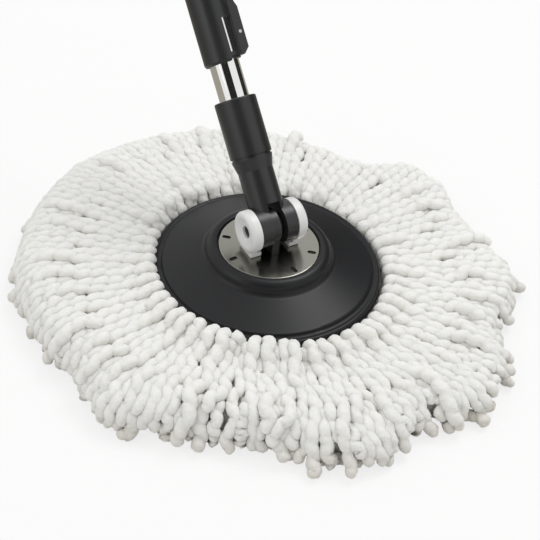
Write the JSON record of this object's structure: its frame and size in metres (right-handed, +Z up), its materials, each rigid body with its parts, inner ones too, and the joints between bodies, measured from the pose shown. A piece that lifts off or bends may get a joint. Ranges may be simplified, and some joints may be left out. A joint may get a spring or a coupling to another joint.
{
  "type": "spin mop",
  "caption": "Round twisted-yarn mop head on a slotted steel hub, hinged to a telescopic press pole that spins the head when it is pushed down.",
  "frame": {"origin": "centre of the mop head on the floor, on the disc's axis", "axes": "+Z up from the floor along the disc's axis, X along the hinge pin, the pole leans toward +Y at rest"},
  "size_m": [0.3674, 0.7661, 0.6878],
  "materials": {
    "yarn": "off-white twisted microfibre",
    "refill_ring": "white moulded",
    "head_disc": "black moulded, satin",
    "steel_plate": "polished stainless steel",
    "tongue_base": "black moulded",
    "base_screws": "plated",
    "spindle_insert": "plain",
    "hinge_pin": "plain",
    "hinge_cap_left": "white moulded",
    "hinge_cap_right": "white moulded",
    "hinge_spacer": "black moulded",
    "fork": "black moulded",
    "pole_socket": "black moulded",
    "socket_rivet": "plain",
    "lower_tube": "polished",
    "upper_tube": "polished",
    "guide_bush": "black moulded",
    "lock_collar": "black moulded",
    "lever_pin": "plain",
    "brake_pad": "plain",
    "lock_lever": "black moulded",
    "glide_bush": "white moulded",
    "drive_strip": "plain",
    "drive_nut": "white moulded",
    "ratchet_ring": "black moulded",
    "strip_stop": "plain",
    "strip_anchor": "black moulded",
    "grip": "soft black",
    "end_cap": "black moulded"
  },
  "bodies": {
    "handle": {"upper_tube": "upper_tube", "guide_bush": "guide_bush", "lock_collar": "lock_collar", "lever_pin": "lever_pin", "drive_strip": "drive_strip", "strip_stop": "strip_stop", "strip_anchor": "strip_anchor", "grip": "grip", "end_cap": "end_cap"},
    "lever": {"lock_lever": "lock_lever"},
    "pad": {"brake_pad": "brake_pad"},
    "slider": {"glide_bush": "glide_bush"},
    "nut": {"drive_nut": "drive_nut"},
    "lower_pole": {"lower_tube": "lower_tube", "ratchet_ring": "ratchet_ring", "pole_socket": "pole_socket", "fork": "fork", "socket_rivet": "socket_rivet"},
    "head": {"yarn": "yarn", "refill_ring": "refill_ring", "head_disc": "head_disc", "steel_plate": "steel_plate", "tongue_base": "tongue_base", "base_screws": "base_screws", "spindle_insert": "spindle_insert", "hinge_pin": "hinge_pin", "hinge_cap_left": "hinge_cap_left", "hinge_cap_right": "hinge_cap_right", "hinge_spacer": "hinge_spacer"}
  },
  "joints": [
    {"name": "lock_lever", "type": "hinge", "parent": "handle", "child": "lever", "pos_m": [0.0165, 0.09637, 0.17605], "axis": [0, 0.7254, -0.6884], "range_deg": [0, 100]},
    {"name": "pad_press", "type": "slide", "parent": "handle", "child": "pad", "axis": [1, 0, 0], "range_m": [0, 0.0004]},
    {"name": "pole_slide", "type": "slide", "parent": "handle", "child": "slider", "axis": [0, -0.6884, -0.7254], "range_m": [0, 0.36]},
    {"name": "nut_turn", "type": "hinge", "parent": "slider", "child": "nut", "pos_m": [0, 0.38204, 0.47708], "axis": [0, -0.6884, -0.7254], "range_deg": [0, 1080]},
    {"name": "head_spin", "type": "hinge", "parent": "slider", "child": "lower_pole", "pos_m": [0, 0.20651, 0.29211], "axis": [0, 0.6884, 0.7254], "continuous": true},
    {"name": "head_tilt", "type": "hinge", "parent": "lower_pole", "child": "head", "pos_m": [0, 0, 0.0745], "axis": [1, 0, 0], "range_deg": [-121.5, 34.5]}
  ],
  "couplings": [
    {"joint": "pad_press", "follows": "lock_lever", "m_per_rad": 0.00022918},
    {"joint": "nut_turn", "follows": "pole_slide", "rad_per_m": 52.36}
  ]
}
